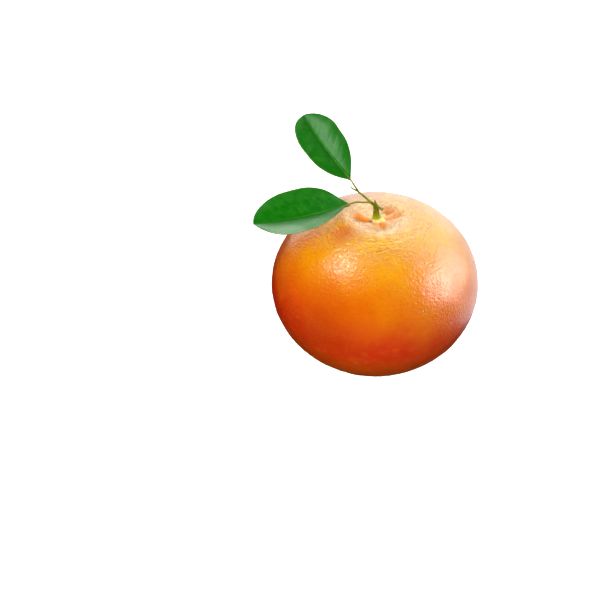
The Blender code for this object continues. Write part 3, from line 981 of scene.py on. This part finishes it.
wood = new_material("young_wood")
spot = place_in_mm(wood)
blotch = noise_at(wood, spot, size=1.1, detail=3)
tone = mixed(wood, stepped(wood, blotch, 0.35, 0.7), BARK_OLIVE, BARK_DARK)
tone = mixed(wood, stepped(wood, attribute(wood, "bark"), 0.0, 0.45, 0, 0.35), tone, BARK_YELLOW)
tone = mixed(wood, product(wood, attribute(wood, "knot"), 0.8), tone, BARK_DARK)
tone = mixed(wood, product(wood, attribute(wood, "foot"), 0.45), tone, BARK_YELLOW)
tone = mixed(wood, attribute(wood, "cut"), tone, CUT_WOOD)
set_shader(wood, {
    "Base Color": tone,
    "Roughness": stepped(wood, blotch, 0.3, 0.7, 0.45, 0.6),
    "Specular IOR Level": 0.3,
    "Normal": bumped(wood, noise_at(wood, spot, size=0.2), strength=0.4, distance=0.06 * MM),
})
hand_over(stem, "stem", wood)

# %% [markdown]
# ## The leaves
# A citrus leaf is a leathery blade folded a little along its midrib. The midrib is a groove above and a rib
# below, and side veins run out from it in soft arcs. The two halves of a real leaf differ, which no operator
# draws, so a formula lays a grid on their outlines.

# %% Outlines and places of the two leaves
LEAVES = {
    "leaf_left": dict(
        stalk=[in_mm(-3.6, 0.6, 93.4), in_mm(-7.6, 0, 93.9), in_mm(-10.9, -1.0, 94.5)],
        foot=in_mm(-13.7, -2.0, 94.6), azimuth=196, pitch=0, roll=-22, twist=-4.5,
        length=49.0 * MM, sag=0.075, bend=0.053, fold=24,
        left=dict(width=11.9 * MM, widest=0.72, foot=1.55, tip=0.82),
        right=dict(width=13.8 * MM, widest=0.535, foot=1.60, tip=0.60),
    ),
    "leaf_upper": dict(
        stalk=[UPPER_JOINT],
        foot=in_mm(-13.3, 3.5, 105.1), azimuth=145, pitch=44, roll=-19, twist=-6.5,
        length=39.2 * MM, sag=0.044, bend=0.032, fold=15,
        left=dict(width=11.2 * MM, widest=0.68, foot=1.05, tip=0.35),
        right=dict(width=11.2 * MM, widest=0.65, foot=1.36, tip=0.70),
    ),
}
BLADE_END = 0.3 * MM
BLADE_CAMBER = 0.045
EDGE_WAVE = 0.18 * MM
EDGE_WAVES = 3.5
print("leaves:", {name: round(leaf["length"] / MM, 1) for name, leaf in LEAVES.items()}, "mm long")

# %% Lay a point on the blade
def blade_axes(leaf):
    """Unit vectors along a blade, to its left side and out of its upper face."""
    azimuth, pitch = radians(leaf["azimuth"]), radians(leaf["pitch"])
    level = math.cos(pitch)
    along = Vector((level * math.cos(azimuth), level * math.sin(azimuth), math.sin(pitch)))
    side = Vector((0, 0, 1)).cross(along).normalized()
    roll = Matrix.Rotation(radians(leaf["roll"]), 3, along)
    return along, roll @ side, roll @ along.cross(side)


def half_width(leaf, share, across):
    """Width of the left or right half at a share of the length: narrow at the foot, round at the tip."""
    half = leaf["left"] if across > 0 else leaf["right"]
    if share < half["widest"]:
        return half["width"] * (1 - (1 - share / half["widest"]) ** 3) ** half["foot"]
    beyond = (share - half["widest"]) / (1 - half["widest"])
    return half["width"] * max(1 - beyond**2, 0) ** half["tip"]


def rib_point(leaf, share):
    along, side, normal = blade_axes(leaf)
    length = leaf["length"]
    sideways = side * leaf["bend"] * length * math.sin(math.pi * share)
    return leaf["foot"] + along * length * share + sideways - normal * leaf["sag"] * length * share**2


def blade_point(leaf, share, across, relief):
    """A point of the upper face. across runs from -1, the right edge, to 1, the left edge."""
    along, side, normal = blade_axes(leaf)
    twist = Matrix.Rotation(radians(leaf["twist"]) * (share - 0.5), 3, along)
    width = half_width(leaf, share, across)
    reach = (width + BLADE_END) * abs(across)
    fold = radians(leaf["fold"])
    camber = BLADE_CAMBER * width * math.sin(math.pi * abs(across))
    wave = EDGE_WAVE * math.sin(math.tau * EDGE_WAVES * share + 2 * across)
    wave *= across**2 * math.sin(math.pi * share)
    outward = side * reach * math.cos(fold) * math.copysign(1, across)
    upward = normal * (reach * math.sin(fold) + camber + wave + relief)
    return rib_point(leaf, share) + twist @ (outward + upward)


print("rib of leaf_left ends at, in mm:", tenths(rib_point(LEAVES["leaf_left"], 1)))

# %% [markdown]
# Side veins leave the midrib every few millimetres and bend towards the tip. A vein is where a running count
# along the leaf is a whole number, and the skin between the veins bulges slightly. The same count is kept on
# the points, so that the finish can tint the veins.

# %% Veins of a blade
VEIN_SPACING = 3.9 * MM
VEIN_SLANT, VEIN_CURVE = 0.62, 9
VEIN_WIDTH = 0.10
VEIN_DEPTH = 0.025 * MM
VEIN_WANDER = 0.35
VEINS_STOP, VEINS_START = (0.72, 0.97), (0.02, 0.12)
BULGE = 0.02 * MM
MIDRIB_WIDTH = 0.40 * MM
MIDRIB_DEPTH = 0.42 * MM


def vein_strength(leaf, share, across):
    """How near a point is to a side vein, 0 to 1, and how far it is into the bulge between two."""
    out = half_width(leaf, share, across) * abs(across)
    wander = VEIN_WANDER * noise.noise(Vector((share * 9, across * 2.2, leaf["length"] * 40)))
    count = (share * leaf["length"] - VEIN_SLANT * out - VEIN_CURVE * out**2) / VEIN_SPACING + wander
    count += 0.5 if across > 0 else 0
    offset = abs(count - round(count))
    fade = float(smooth_fall(*VEINS_STOP, abs(across))) * float(smooth_step(*VEINS_START, share))
    return math.exp(-((offset / VEIN_WIDTH) ** 2)) * fade, math.sin(math.pi * (count % 1)) * fade


def blade_relief(leaf, share, across, vein, bulge):
    from_rib = half_width(leaf, share, across) * abs(across)
    groove = MIDRIB_DEPTH * math.exp(-((from_rib / MIDRIB_WIDTH) ** 2)) * (1 - 0.6 * share)
    return BULGE * bulge - VEIN_DEPTH * vein - groove


print("side veins every", VEIN_SPACING / MM, "mm")

# %% Build a leaf
BLADE_THICKNESS = 0.36 * MM
RIB_THICKNESS = 1.15 * MM
RIB_SPREAD = 0.075
STALK_RADIUS = 0.42 * MM
CELLS_ALONG, CELLS_ACROSS = 240, 120


def make_blade(leaf):
    """The blade: a grid laid on the leaf's formula, then thickened downwards, most along the midrib."""
    start_clean()
    bpy.ops.mesh.primitive_grid_add(x_subdivisions=CELLS_ALONG, y_subdivisions=CELLS_ACROSS, size=2)
    blade = bpy.context.object
    rows = [((x + 1) / 2, y) for x, y, z in read_points(blade)]
    veins = [vein_strength(leaf, share, across) for share, across in rows]
    write_points(blade, [
        blade_point(leaf, share, across, blade_relief(leaf, share, across, *vein))
        for (share, across), vein in zip(rows, veins)
    ])
    store(blade, "vein", [vein for vein, bulge in veins])
    store(blade, "across", [across for share, across in rows])
    store(blade, "share", [share for share, across in rows])
    rib = blade.vertex_groups.new(name="rib")
    for index, (share, across) in enumerate(rows):
        rib.add([index], math.exp(-((across / RIB_SPREAD) ** 2)) * (1 - share / 2), "REPLACE")
    blade.data.materials.append(leaf_top)
    blade.data.materials.append(leaf_below)
    apply_modifier(
        blade, "SOLIDIFY", thickness=RIB_THICKNESS, offset=-1, vertex_group="rib",
        thickness_vertex_group=BLADE_THICKNESS / RIB_THICKNESS, material_offset=1,
    )
    return blade


def make_stalk(leaf):
    """The stalk runs from the twig to the leaf's foot and on under the first part of the midrib."""
    normal = blade_axes(leaf)[2]
    run_in = [rib_point(leaf, share) - normal * STALK_RADIUS * 1.1 for share in (0.01, 0.05, 0.11)]
    points = leaf["stalk"] + run_in
    return rod(points, STALK_RADIUS, [1.15] + [1] * (len(points) - 2) + [0.6], sides=5)


print("leaf helpers ready")

# %% [markdown]
# ## The leaves' finish
# The upper face is a saturated deep green under a glossy skin, mottled where the cells below differ, with
# paler veins and a thin yellowish margin. A painted highlight and a painted shade lie on the two sides of
# the midrib's groove, most near the foot. The underside is duller and paler. A net of fine veins, too small
# to model, is a bump pattern.

# %% Finish of the upper face, the underside and the stalk
LEAF_GREEN = colour(6, 108, 2)
LEAF_FRESH = colour(30, 124, 6)
RIB_SHADE_GREEN = colour(0, 50, 0)
LEAF_VEIN = colour(84, 156, 52)
LEAF_EDGE = colour(132, 150, 48)
LEAF_PALE = colour(112, 152, 88)
STALK_GREEN = colour(148, 144, 44)
NET_SIZE = 0.75


def leaf_finish(name, main, second, vein_colour, roughness, coat):
    face = new_material(name)
    spot = place_in_mm(face)
    patches = noise_at(face, spot, size=3.2, detail=5, roughness=0.65)
    green = mixed(face, stepped(face, patches, 0.35, 0.75), main, second)
    green = mixed(face, stepped(face, attribute(face, "vein"), 0.2, 1.0, 0, 0.07), green, vein_colour)
    across = attribute(face, "across")
    rib_fade = stepped(face, attribute(face, "share"), 0.2, 0.65, 0.8, 0.25)
    # A painted highlight on one side of the midrib's groove and painted shade on the other.
    rib_highlight = stepped(face, apart(face, across, -0.02), 0.0, 0.03, 1, 0)
    rib_shade = stepped(face, apart(face, across, 0.04), 0.0, 0.05, 1, 0)
    green = mixed(face, product(face, rib_shade, rib_fade), green, RIB_SHADE_GREEN)
    green = mixed(face, product(face, rib_highlight, rib_fade), green, vein_colour)
    margin = stepped(face, maths(face, "ABSOLUTE", across), 0.965, 1.0, 0, 0.8)
    green = mixed(face, margin, green, LEAF_EDGE)
    net = add_node(face, "TexVoronoi", {"Vector": spot, "Scale": 1 / NET_SIZE}, feature="DISTANCE_TO_EDGE")
    cells = stepped(face, net.outputs["Distance"], 0.0, 0.12)
    fine = noise_at(face, spot, size=0.6, detail=2)
    relief = maths(face, "MULTIPLY_ADD", fine, 0.5, cells)
    set_shader(face, {
        "Base Color": green,
        "Roughness": stepped(face, patches, 0.3, 0.7, roughness, roughness + 0.1),
        "Normal": bumped(face, relief, strength=0.25, distance=0.05 * MM),
        "Coat Weight": coat,
        "Coat Roughness": 0.25,
        "Specular IOR Level": 0.4,
    })
    return face


leaf_top = leaf_finish("leaf_upper_face", LEAF_GREEN, LEAF_FRESH, LEAF_VEIN, roughness=0.34, coat=0.5)
leaf_below = leaf_finish("leaf_underside", LEAF_PALE, LEAF_FRESH, LEAF_EDGE, roughness=0.6, coat=0.0)
stalk_skin = new_material("leaf_stalk")
stalk_tint = noise_at(stalk_skin, place_in_mm(stalk_skin), size=1.2)
stalk_colour = mixed(stalk_skin, stalk_tint, STALK_GREEN, BARK_OLIVE)
set_shader(stalk_skin, {"Base Color": stalk_colour, "Roughness": 0.5})
print("leaf finishes:", leaf_top.name, leaf_below.name, stalk_skin.name)

# %% Make both leaves
for name, leaf in LEAVES.items():
    blade = make_blade(leaf)
    stalk = make_stalk(leaf)
    stalk.data.materials.append(stalk_skin)
    blade = joined([blade, stalk])
    blade.data.shade_smooth()
    bpy.ops.object.shade_smooth_by_angle(angle=radians(50))
    hand_over(blade, name, leaf_top)

# %% [markdown]
# ## Which piece mirrors which lamp
# A photographer hangs small black flags beside a lamp, so that it shines on one thing and not on another.
# Light linking does the same. The lamps on the right are kept off the upper leaf, and those behind off the
# left leaf. Each leaf has one lamp of its own that gives it its sheen.

# %% Flag the lamps
# INCLUDE lets a lamp shine on that leaf alone, EXCLUDE on all but that leaf.
FLAGS = (
    ("softbox_right", "leaf_upper", "EXCLUDE"),
    ("halo_right", "leaf_upper", "EXCLUDE"),
    ("wall_behind_right", "leaf_upper", "EXCLUDE"),
    ("leaf_sheen", "leaf_upper", "INCLUDE"),
    ("leaf_card", "leaf_left", "INCLUDE"),
    ("wall_behind", "leaf_left", "EXCLUDE"),
    ("window_behind", "leaf_left", "EXCLUDE"),
)
for name, leaf, state in FLAGS:
    flagged = bpy.data.collections.new(name + "_flag")
    flagged.objects.link(bpy.data.objects[leaf + "_skin"])
    flagged.collection_objects[0].light_linking.link_state = state
    lamps[name].light_linking.receiver_collection = flagged
    print(name, state.lower(), leaf)

# %% [markdown]
# ## Measure and finish
# The boxes of the solids and of the dressed model are printed side by side.

# %% Print the sizes of the solids and the dressed model
boxes = {"solids": solid_box, "dressed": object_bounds()}
for name, box in boxes.items():
    print(name, tenths(box[1] - box[0]), "mm")
